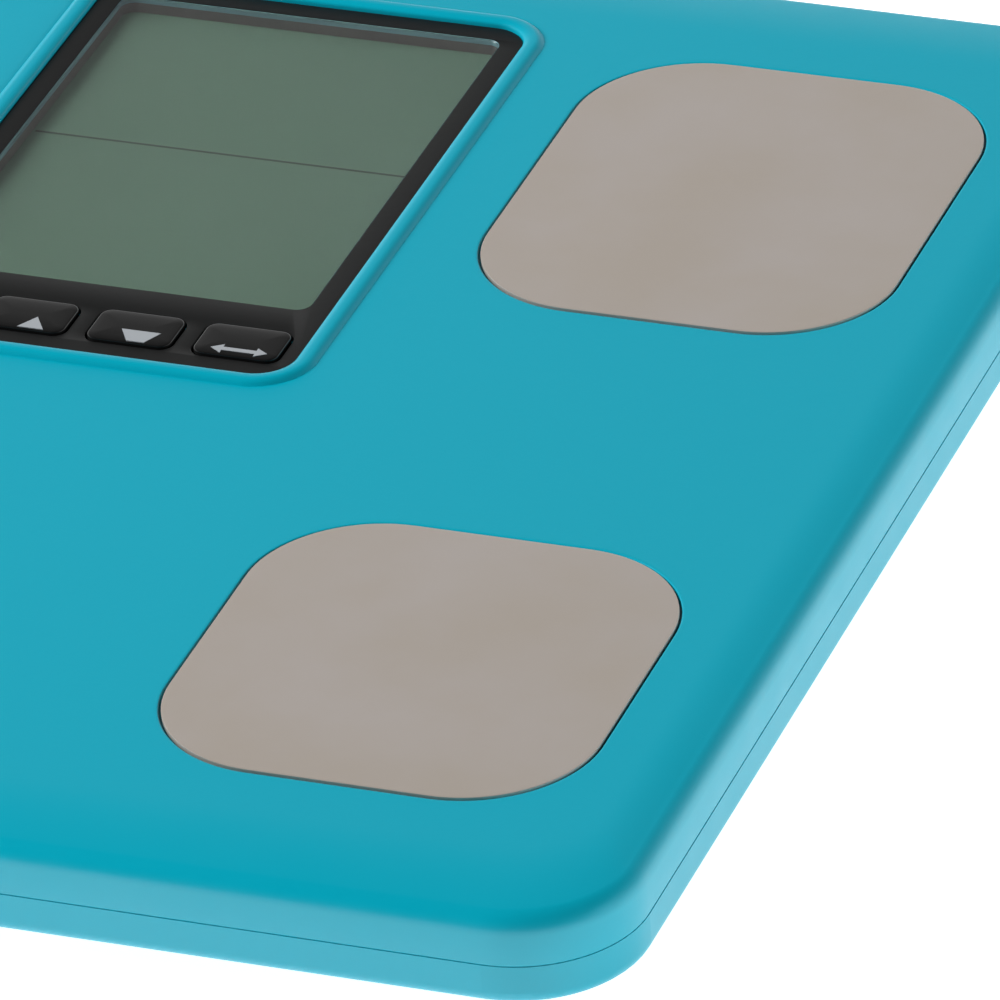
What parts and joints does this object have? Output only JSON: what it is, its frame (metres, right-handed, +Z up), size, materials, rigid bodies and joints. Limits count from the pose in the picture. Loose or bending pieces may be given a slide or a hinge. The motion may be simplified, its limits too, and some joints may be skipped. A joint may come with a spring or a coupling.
{
  "type": "body composition bathroom scale",
  "caption": "Low square turquoise bathroom scale with steel foot plates, a portrait display in a raised frame, a row of keys, load cell feet and a battery door.",
  "frame": {"origin": "centre of the footprint at floor level, under the feet", "axes": "+X to the user's right, +Y towards the display and toe plates, +Z up"},
  "size_m": [0.286, 0.288, 0.0229],
  "materials": {
    "top_plastic": "satin turquoise moulding",
    "low_plastic": "satin turquoise moulding",
    "black_panel": "black, slightly glossy",
    "clear_window": "clear",
    "lcd": "grey-green reflective display",
    "white_plastic": "plain white moulding",
    "silicone": "soft contact strip",
    "steel_plate": "satin stainless steel",
    "zinc_steel": "zinc plated",
    "key_black": "glossy black",
    "board_green": "solder mask",
    "dark_part": "dark electronic parts",
    "seat_grey": "dark grey moulding",
    "gauge_white": "sealant over strain gauges",
    "grey_foot": "light grey moulding",
    "pad_rubber": "dark rubber",
    "battery_sleeve": "plain sleeve",
    "lead_grey": "insulated lead",
    "lead_red": "insulated lead"
  },
  "bodies": {
    "platform": {"top_cover": "top_plastic", "bottom_cover": "low_plastic", "display_panel": "black_panel", "display_window": "clear_window", "lcd_glass": "lcd", "lcd_tray": "white_plastic", "contact_strip": "silicone", "toe_plate_left": "steel_plate", "toe_plate_right": "steel_plate", "heel_plate_left": "steel_plate", "heel_plate_right": "steel_plate", "plate_nuts": "zinc_steel", "plate_tags": "zinc_steel", "main_board": "board_green", "key_switches": "dark_part", "board_chips": "dark_part", "buzzer": "dark_part", "load_cell_toe_left": "zinc_steel", "load_cell_toe_right": "zinc_steel", "load_cell_heel_left": "zinc_steel", "load_cell_heel_right": "zinc_steel", "cell_seats": "seat_grey", "cell_gauges": "gauge_white", "foot_toe_left": "grey_foot", "foot_toe_right": "grey_foot", "foot_heel_left": "grey_foot", "foot_heel_right": "grey_foot", "pad_toe_left": "pad_rubber", "pad_toe_right": "pad_rubber", "pad_heel_left": "pad_rubber", "pad_heel_right": "pad_rubber", "batteries": "battery_sleeve", "battery_contacts": "zinc_steel", "cell_leads": "lead_grey", "plate_leads": "lead_red", "battery_leads": "lead_red", "case_screws": "zinc_steel", "board_screws": "zinc_steel", "tray_screws": "zinc_steel"},
    "key_set_body": {"key_set": "key_black"},
    "key_up_body": {"key_up": "key_black"},
    "key_down_body": {"key_down": "key_black"},
    "key_swap_body": {"key_swap": "key_black"},
    "door": {"battery_door": "low_plastic"}
  },
  "joints": [
    {"name": "key_set_press", "type": "slide", "parent": "platform", "child": "key_set_body", "axis": [0, 0, 1], "range_m": [-0.0005, 0], "stiffness_N_per_m": 600},
    {"name": "key_up_press", "type": "slide", "parent": "platform", "child": "key_up_body", "axis": [0, 0, 1], "range_m": [-0.0005, 0], "stiffness_N_per_m": 600},
    {"name": "key_down_press", "type": "slide", "parent": "platform", "child": "key_down_body", "axis": [0, 0, 1], "range_m": [-0.0005, 0], "stiffness_N_per_m": 600},
    {"name": "key_swap_press", "type": "slide", "parent": "platform", "child": "key_swap_body", "axis": [0, 0, 1], "range_m": [-0.0005, 0], "stiffness_N_per_m": 600},
    {"name": "battery_door_hinge", "type": "hinge", "parent": "platform", "child": "door", "pos_m": [0, -0.1026, 0.0064], "axis": [-1, 0, 0], "range_deg": [0, 95]}
  ]
}
